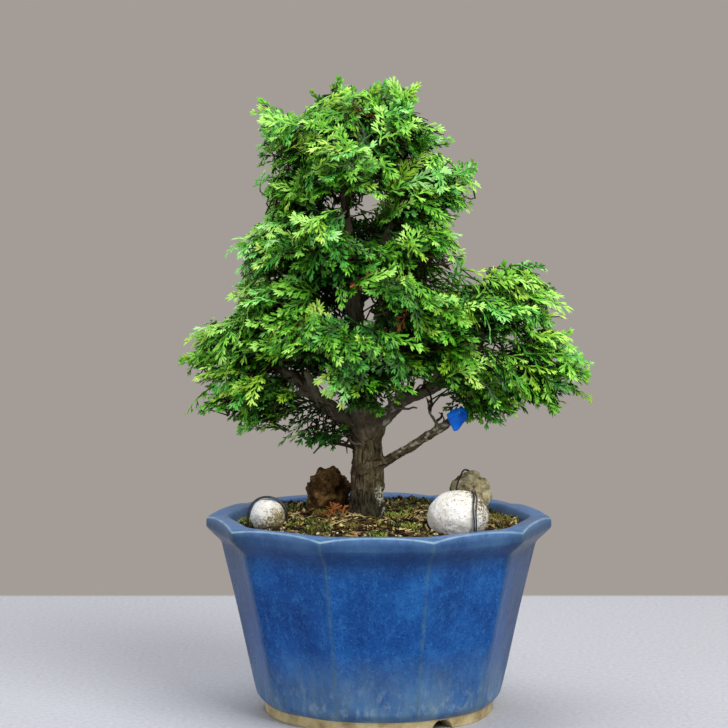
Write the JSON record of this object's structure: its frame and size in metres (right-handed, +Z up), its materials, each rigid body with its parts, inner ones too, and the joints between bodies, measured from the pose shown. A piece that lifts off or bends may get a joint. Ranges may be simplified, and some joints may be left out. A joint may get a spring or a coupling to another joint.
{
  "type": "potted bonsai conifer",
  "caption": "Bonsai cypress with a full green crown on a short furrowed trunk, in a faceted blue glazed pot filled with soil.",
  "frame": {"origin": "on the bench, under the middle of the whole model's bounding box; the pot's own axis stands 3.8 mm from it along X", "axes": "+Z up, +Y away from someone who faces the tree's front, +X to that person's right"},
  "size_m": [0.1742, 0.1434, 0.2738],
  "materials": {
    "glaze": "gloss",
    "soil": "matte",
    "bark": "matte",
    "foliage": "satin",
    "ball": "matte",
    "lump": "matte",
    "wire": "satin",
    "tag": "gloss"
  },
  "bodies": {
    "root": {"ball_left": "ball", "ball_right": "ball", "bough_back_left": "bark", "bough_back_mid_left": "bark", "bough_back_mid_right": "bark", "bough_back_right": "bark", "bough_front": "bark", "bough_front_high": "bark", "bough_left": "bark", "bough_left_high": "bark", "bough_left_inner": "bark", "bough_left_low": "bark", "bough_low_right": "bark", "bough_low_right_spur": "bark", "bough_mid_front": "bark", "bough_mid_left": "bark", "bough_mid_right": "bark", "bough_right": "bark", "bough_right_inner": "bark", "bough_right_up": "bark", "bough_upper_left": "bark", "bough_upper_right": "bark", "bough_upper_right_side": "bark", "foliage_apex": "foliage", "foliage_back_left": "foliage", "foliage_back_mid_left": "foliage", "foliage_back_mid_right": "foliage", "foliage_back_right": "foliage", "foliage_back_top": "foliage", "foliage_front_high": "foliage", "foliage_front_low": "foliage", "foliage_front_top": "foliage", "foliage_left_high": "foliage", "foliage_left_inner": "foliage", "foliage_left_low": "foliage", "foliage_left_outer": "foliage", "foliage_low_left": "foliage", "foliage_mid_front": "foliage", "foliage_mid_left": "foliage", "foliage_mid_right": "foliage", "foliage_right_inner": "foliage", "foliage_right_low": "foliage", "foliage_right_outer": "foliage", "foliage_right_top": "foliage", "foliage_top_left": "foliage", "foliage_top_right": "foliage", "foliage_upper_left": "foliage", "foliage_upper_right": "foliage", "lump_brown": "lump", "lump_grey": "lump", "pot": "glaze", "soil": "soil", "tag": "tag", "trunk": "bark", "wire_back": "wire", "wire_left": "wire", "wire_right": "wire"}
  },
  "joints": []
}
